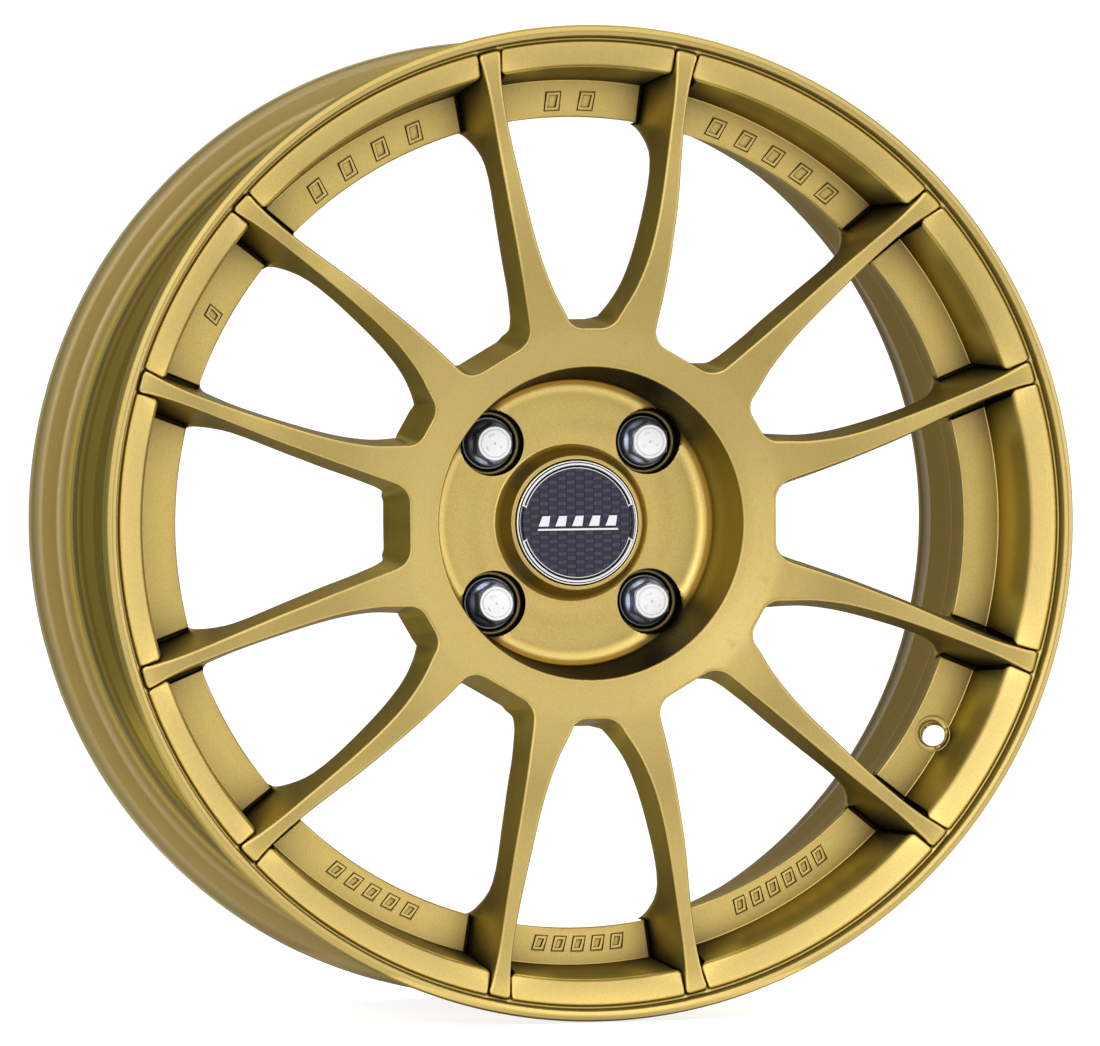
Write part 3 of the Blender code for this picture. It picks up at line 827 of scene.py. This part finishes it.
def centring_ring(plastic):
    """The ring in the centre bore, with its mouth chamfered at the back."""
    outer, inner, front, back = CENTRE_BORE - 0.35, 32.55, 62.0, HUB_FACE - 0.4
    outline = [(inner, 66.0, 0), (inner, front, 0.5), (outer, front, 1.0), (outer, HUB_FACE - 2.2, 0.6),
               (outer - 1.0, back, 0.6), (33.75, back, 0.3), (inner, HUB_FACE - 1.6, 0.4)]
    ring = turned("centring_ring_fine", rounded(outline, 3), plastic, 144)
    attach(ring, "centring_ring")
    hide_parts("centring_ring")


# ---------------- node helpers

CLEAR = (1.0, 1.0, 1.0)
WHITE = (*CLEAR, 1.0)


def feed(tree, socket, value):
    """Link the value to the socket if it is a node's output, or else set it."""
    if isinstance(value, bpy.types.NodeSocket):
        tree.links.new(value, socket)
    else:
        socket.default_value = value


def set_inputs(tree, node, **inputs):
    """Feed a node's inputs, which are named with _ for a space."""
    for key, value in inputs.items():
        feed(tree, node.inputs[key.replace("_", " ")], value)


def add_node(tree, kind, **inputs):
    node = tree.nodes.new(kind)
    set_inputs(tree, node, **inputs)
    return node


def coordinates(tree, output):
    return tree.nodes.new("ShaderNodeTexCoord").outputs[output]


def component(tree, output, axis):
    return add_node(tree, "ShaderNodeSeparateXYZ", Vector=coordinates(tree, output)).outputs[axis]


def noise(tree, scale, detail, roughness):
    node = add_node(tree, "ShaderNodeTexNoise", Vector=coordinates(tree, "Object"), Scale=scale,
                    Detail=detail, Roughness=roughness)
    return node.outputs["Fac"]


def ramp(tree, source, stops):
    """Colours by the source's value, from pairs of a position and a colour."""
    node = add_node(tree, "ShaderNodeValToRGB", Fac=source)
    while len(node.color_ramp.elements) < len(stops):
        node.color_ramp.elements.new(0.5)
    for element, (position, colour) in zip(node.color_ramp.elements, stops):
        element.position = position
        element.color = (*colour, 1.0)
    return node.outputs["Color"]


def greys(*stops):
    return [(position, (level, level, level)) for position, level in stops]


def bump(tree, height, strength, distance, **below):
    node = add_node(tree, "ShaderNodeBump", Height=height, Strength=strength, Distance=distance, **below)
    return node.outputs["Normal"]


def blend(tree, kind, factor, first, second):
    node = tree.nodes.new("ShaderNodeMix")
    node.data_type = 'RGBA'
    node.blend_type = kind
    set_inputs(tree, node, Factor=factor, A=first, B=second)
    return node.outputs["Result"]


def multiply(tree, first, *others):
    for other in others:
        first = blend(tree, 'MULTIPLY', 1.0, first, other)
    return first


def calculate(tree, operation, *terms, kind="ShaderNodeMath", result="Value"):
    """The result of a Math or VectorMath node that is fed the terms."""
    node = tree.nodes.new(kind)
    node.operation = operation
    for socket, term in zip(node.inputs, terms):
        feed(tree, socket, term)
    return node.outputs[result]


def spread(tree, source, low, high):
    """The source's range from low to high, as 0 to 1."""
    return add_node(tree, "ShaderNodeMapRange", Value=source, From_Min=low, From_Max=high).outputs["Result"]


def shade_in_corners(tree, reach, stops):
    """Painted shade in corners: a tone that falls where other surfaces are near."""
    near = add_node(tree, "ShaderNodeAmbientOcclusion", Distance=reach)
    near.samples = 8
    return ramp(tree, near.outputs["AO"], stops)


def vector_math(tree, operation, *terms, result="Vector"):
    return calculate(tree, operation, *terms, kind="ShaderNodeVectorMath", result=result)


def facing_axle(tree):
    """0 on walls along the axle, 1 on faces square to it."""
    return calculate(tree, 'ABSOLUTE', component(tree, "Normal", "Y"))


def from_axle(tree):
    """The arm from the axle to the point, square to the axle."""
    return vector_math(tree, 'MULTIPLY', coordinates(tree, "Object"), (1.0, 0.0, 1.0))


def off_axle(tree):
    """The point's distance from the axle, in metres."""
    return vector_math(tree, 'LENGTH', from_axle(tree), result="Value")


def facing_tyre(tree):
    """1 on surfaces behind the front flange that face away from the axle, 0 elsewhere."""
    outward = vector_math(tree, 'NORMALIZE', from_axle(tree))
    along = vector_math(tree, 'DOT_PRODUCT', outward, coordinates(tree, "Normal"), result="Value")
    behind = spread(tree, component(tree, "Object", "Y"), -0.01, 0.01)
    return calculate(tree, 'MULTIPLY', along, behind)


# ---------------- materials

def shader_nodes(name):
    material = bpy.data.materials.new(name)
    material.use_nodes = True
    tree = material.node_tree
    return material, tree, tree.nodes["Principled BSDF"]


def finish(name, colours, metallic, gloss, grain, relief, shade_reach, shade_stops):
    """A procedural finish: speckled colour, uneven gloss, fine relief and painted shade in corners.

    The gloss is the roughness's two ends. The relief is the scale and strength of soft waves
    and the strength of the specks. Returns the material and its colour, for further layers.
    """
    material, tree, shader = shader_nodes(name)
    speck = noise(tree, grain, 2.0, 0.6)
    cloud = noise(tree, 11.0, 4.0, 0.5)
    patch = ramp(tree, cloud, ((0.3, (0.95, 0.95, 0.94)), (0.7, CLEAR)))
    # The tone is the speckled colour, darkened at random in patches and by painted shade in corners.
    tone = multiply(tree, ramp(tree, speck, list(zip((0.30, 0.52, 0.74), colours))), patch,
                    shade_in_corners(tree, shade_reach, shade_stops))
    smoothest, dullest = gloss
    roughness = ramp(tree, speck, greys((0.3, dullest), (0.7, smoothest)))
    wave_scale, wave_strength, speck_strength = relief
    waves = bump(tree, noise(tree, wave_scale, 2.0, 0.5), wave_strength, 0.0004)
    relieved = bump(tree, speck, speck_strength, 0.0001, Normal=waves)
    set_inputs(tree, shader, Base_Color=tone, Roughness=roughness, Metallic=metallic, Normal=relieved)
    return material, tone


def seat_shade_bands(tree):
    """Painted shade in bands at the corners of the rear bead seat, laid along the axle."""
    along = spread(tree, component(tree, "Object", "Y"), 0.09, 0.13)
    return ramp(tree, along, greys((0.14, 1.0), (0.21, 0.25), (0.25, 0.25), (0.32, 0.9), (0.46, 0.85),
                                   (0.56, 0.45), (0.66, 0.5), (0.72, 1.0)))


def recess_shade(tree):
    """Painted shade on the walls inside the hub's recess, except where they face the light from the left."""
    side = spread(tree, component(tree, "Normal", "X"), -1.0, 1.0)
    deep_shade = (0.15, 0.15, 0.14)
    shade = ramp(tree, side, ((0.02, CLEAR), (0.12, (0.60, 0.60, 0.56)), (0.30, deep_shade), (1.0, deep_shade)))
    wall = RECESS_RADIUS * MM
    outside = spread(tree, off_axle(tree), wall - 0.0003, wall + 0.0009)
    return blend(tree, 'MIX', outside, shade, WHITE)


def rear_seat_sheen(tree):
    """Metallic share of the paint, lower on the rear bead seat and flange."""
    rear = spread(tree, component(tree, "Object", "Y"), 0.082, 0.100)
    seat = spread(tree, off_axle(tree), 0.2158, 0.2175)
    return ramp(tree, calculate(tree, 'MULTIPLY', rear, seat), greys((0.0, 0.88), (1.0, 0.35)))


def gold_paint():
    """Satin metallic paint, coated on the faces; painted shade darkens its side walls along the axle, its
    corners, the hub's recess, the tyre side and bands on the rear bead seat.
    """
    dark, middle, light = (0.55, 0.39, 0.088), (0.64, 0.46, 0.116), (0.75, 0.555, 0.168)
    # corners: painted shade where other surfaces are near, and a slightly darker tone on the most open
    # surfaces.
    corners = ((0.14, (0.20, 0.20, 0.17)), (0.34, (0.50, 0.50, 0.47)), (0.56, (0.84, 0.84, 0.83)),
               (0.72, (0.90, 0.90, 0.90)), (0.88, CLEAR), (0.99, (0.61, 0.61, 0.59)))
    material, tone = finish("satin_gold_paint", (dark, middle, light), 0.88, (0.32, 0.40), 2600.0,
                            (420.0, 0.10, 0.08), 0.026, corners)
    tree = material.node_tree
    facing = facing_axle(tree)
    # walls and recess_shade: painted shade, laid only on surfaces that run along the axle (is_wall).
    walls = shade_in_corners(tree, 0.06, ((0.22, (0.06, 0.07, 0.09)), (0.45, (0.29, 0.345, 0.43)),
                                 (0.65, (0.64, 0.75, 0.88)), (0.85, (0.86, 0.96, 1.0))))
    is_wall = ramp(tree, facing, greys((0.20, 1.0), (0.50, 0.0)))
    painted_wall_shade = blend(tree, 'MIX', is_wall, WHITE, multiply(tree, walls, recess_shade(tree)))
    # thin: painted shade on the tyre side, on surfaces behind the front flange that face away from the axle.
    thin = ramp(tree, facing_tyre(tree), ((0.25, CLEAR), (0.75, (0.74, 0.75, 0.72))))
    set_inputs(tree, tree.nodes["Principled BSDF"],
               Base_Color=multiply(tree, tone, painted_wall_shade, thin, seat_shade_bands(tree)),
               Metallic=rear_seat_sheen(tree),
               # Specular tint: dark on walls, painted shade in their reflections.
               Specular_Tint=ramp(tree, is_wall, ((0.0, (1.0, 0.80, 0.45)), (1.0, (0.22, 0.18, 0.10)))),
               Coat_Weight=ramp(tree, facing, greys((0.45, 0.0), (0.85, 0.45))),
               Coat_Roughness=0.30,
               Coat_IOR=1.8)
    return material


def weave():
    """Checked carbon cloth under lacquer: long flat tows, alternately light and dark."""
    material, tree, shader = shader_nodes("woven_carbon_badge")
    tow_length, tow_width = 0.0044, 0.0020
    lay = add_node(tree, "ShaderNodeMapping", Vector=coordinates(tree, "Object"),
                   Rotation=(pi / 2, 0.0, 0.0), Location=(0.2, 0.1, 0.35),
                   Scale=(1 / tow_length, 1.0, 1 / tow_width)).outputs["Vector"]
    checker = add_node(tree, "ShaderNodeTexChecker", Vector=lay, Scale=1.0,
                       Color1=(0.050, 0.051, 0.076, 1), Color2=(0.031, 0.029, 0.044, 1))
    brick = add_node(tree, "ShaderNodeTexBrick", Vector=lay, Scale=1.0, Mortar_Size=0.07,
                     Mortar_Smooth=0.6, Brick_Width=1.0, Row_Height=1.0, Color1=WHITE, Color2=WHITE,
                     Mortar=(0.35, 0.35, 0.40, 1))
    brick.offset = 0.0
    fibre = ramp(tree, noise(tree, 3000.0, 2.0, 0.6), greys((0.3, 0.75), (0.7, 1.0)))
    set_inputs(tree, shader, Roughness=0.45, Specular_IOR_Level=0.15,
               Base_Color=multiply(tree, checker.outputs["Color"], brick.outputs["Color"], fibre),
               Normal=bump(tree, brick.outputs["Fac"], 0.25, -0.0001))
    return material


def cool_greys(*levels):
    return [(level, level, level * 1.02) for level in levels]


def other_finishes():
    """Every finish but the gold paint and the weave, by a short name."""
    violet = ((0.27, 0.31, 0.41), (0.34, 0.38, 0.49), (0.41, 0.45, 0.56))
    # The last two arguments of each finish are the reach and stops of painted shade in its corners.
    metal_shade, plastic_shade = greys((0.3, 0.4), (0.85, 1.0)), greys((0.3, 0.5), (0.85, 1.0))
    made = {
        "dark_chrome": finish("dark_chrome", violet, 0.8, (0.32, 0.42), 900.0, (260.0, 0.05, 0.03),
                              0.008, ((0.04, (0.30, 0.29, 0.36)), (0.30, CLEAR))),
        "bright": finish("faced_bolt_top", cool_greys(0.88, 0.93, 0.98), 0.55, (0.30, 0.40), 1400.0,
                         (500.0, 0.05, 0.05), 0.0012, ((0.35, (0.45, 0.46, 0.50)), (0.85, CLEAR))),
        "steel": finish("zinc_plated_steel", cool_greys(0.48, 0.56, 0.64), 1.0, (0.28, 0.42), 1200.0,
                        (300.0, 0.06, 0.06), 0.008, metal_shade),
        "chrome": finish("polished_chrome", cool_greys(0.90, 0.94, 0.97), 1.0, (0.08, 0.18), 800.0,
                         (200.0, 0.03, 0.02), 0.0015, metal_shade),
        "plastic": finish("black_cap_plastic", cool_greys(0.020, 0.026, 0.034), 0.0, (0.42, 0.55), 1800.0,
                          (700.0, 0.10, 0.10), 0.006, plastic_shade),
        "ring": finish("grey_ring_nylon", cool_greys(0.10, 0.125, 0.15), 0.0, (0.45, 0.58), 1500.0,
                       (600.0, 0.10, 0.10), 0.006, plastic_shade)}
    return {name: material for name, (material, _) in made.items()}


# ---------------- studio

def studio_floor():
    """A pale round floor just under the wheel."""
    radius, height, sides = 0.5, cad_low.z - 0.0005, 96
    mesh = bpy.data.meshes.new("studio_floor")
    edge = [(radius * cos(TURN * k / sides), radius * sin(TURN * k / sides), height) for k in range(sides)]
    mesh.from_pydata(edge, [], [tuple(range(sides))])
    material, tree, shader = shader_nodes("pale_floor")
    set_inputs(tree, shader, Base_Color=(0.50, 0.50, 0.50, 1.0), Roughness=0.9, Emission_Color=WHITE,
               Emission_Strength=0.8)
    mesh.materials.append(material)
    floor = put("studio_floor", mesh)


def studio_world():
    """White behind the wheel; for its light and reflections, greys that follow the direction."""
    world = bpy.data.worlds.new("studio")
    world.use_nodes = True
    tree = world.node_tree
    tent = greys((0.0, 0.78), (0.05, 0.95), (0.11, 1.30), (0.30, 1.35), (0.56, 1.15), (0.72, 0.35),
                 (0.95, 0.42), (0.985, 1.15))
    lift = greys((0.0, 0.62), (0.35, 0.88), (0.5, 0.95), (1.0, 1.15))
    tilt = greys((0.0, 0.92), (0.3, 1.0), (1.0, 1.05))
    light = multiply(tree, *(ramp(tree, spread(tree, component(tree, "Generated", axis), -1.0, 1.0), stops)
                             for axis, stops in (("Y", tent), ("Z", lift), ("X", tilt))))
    rays = tree.nodes.new("ShaderNodeLightPath")
    set_inputs(tree, tree.nodes["Background"], Strength=1.2,
               Color=blend(tree, 'MIX', rays.outputs["Is Camera Ray"], light, WHITE))
    bpy.context.scene.world = world


def studio_lamps():
    """Large soft lamps, each turned to the wheel: place, size and power."""
    middle = Vector((0.0, -0.03, 0.0))
    gain = 1.2
    for name, position, size, power in (
            ("key", (-1.4, -3.2, 1.8), (2.4, 1.6), 15.0),
            ("top", (0.2, -0.6, 2.6), (2.0, 1.4), 5.0),
            ("side_left", (-1.9, -3.2, 0.2), (1.1, 2.2), 9.0),
            ("side_right", (3.3, -1.2, 0.1), (1.4, 2.4), 7.0),
            ("rear", (0.8, 2.6, 2.2), (2.4, 1.6), 20.0)):
        lamp = bpy.data.lights.new(name, 'AREA')
        lamp.shape = 'RECTANGLE'
        lamp.size, lamp.size_y = size
        lamp.energy = gain * power
        item = put(name, lamp)
        item.location = position
        item.rotation_euler = (middle - item.location).to_track_quat('-Z', 'Y').to_euler()


def studio():
    studio_floor()
    studio_world()
    studio_lamps()
    bpy.context.scene.view_settings.view_transform = 'Standard'


def camera():
    """A long lens from a little to the left; the wheel is turned slightly round its axle."""
    azimuth, elevation = radians(-13.543), radians(0.728)
    spin = radians(0.62)
    distance = 4.23912
    aim_right, aim_up = -0.021317, 0.000285
    back = Vector((sin(azimuth) * cos(elevation), -cos(azimuth) * cos(elevation), sin(elevation)))
    right = (-back).cross(Vector((0, 0, 1))).normalized()
    up = right.cross(-back)
    turned_axes = Matrix((right, up, back)).transposed().to_4x4()
    stand = back * distance + right * aim_right + up * aim_up
    pose = Matrix.Rotation(spin, 4, 'Y') @ Matrix.Translation(stand) @ turned_axes
    lens = bpy.data.cameras.new("camera")
    lens.sensor_width = 36.0
    lens.lens = 293.56
    lens.clip_end = 60.0
    item = put("camera", lens)
    item.matrix_world = Matrix.Translation(Vector((0, -HUB_FACE * MM, 0))) @ pose
    bpy.context.scene.camera = item


camera()
studio()
gold = gold_paint()
finishes = other_finishes()
wheel_centre(gold)
rim_barrel(gold)
ledge_marks(gold)
for number, centre in bolt_centres():
    wheel_bolt(number, centre, finishes["dark_chrome"], finishes["bright"])
    bolt_fittings(number, centre, finishes["dark_chrome"], finishes["steel"])
cap(finishes["plastic"], finishes["chrome"], weave(), finishes["steel"])
centring_ring(finishes["ring"])
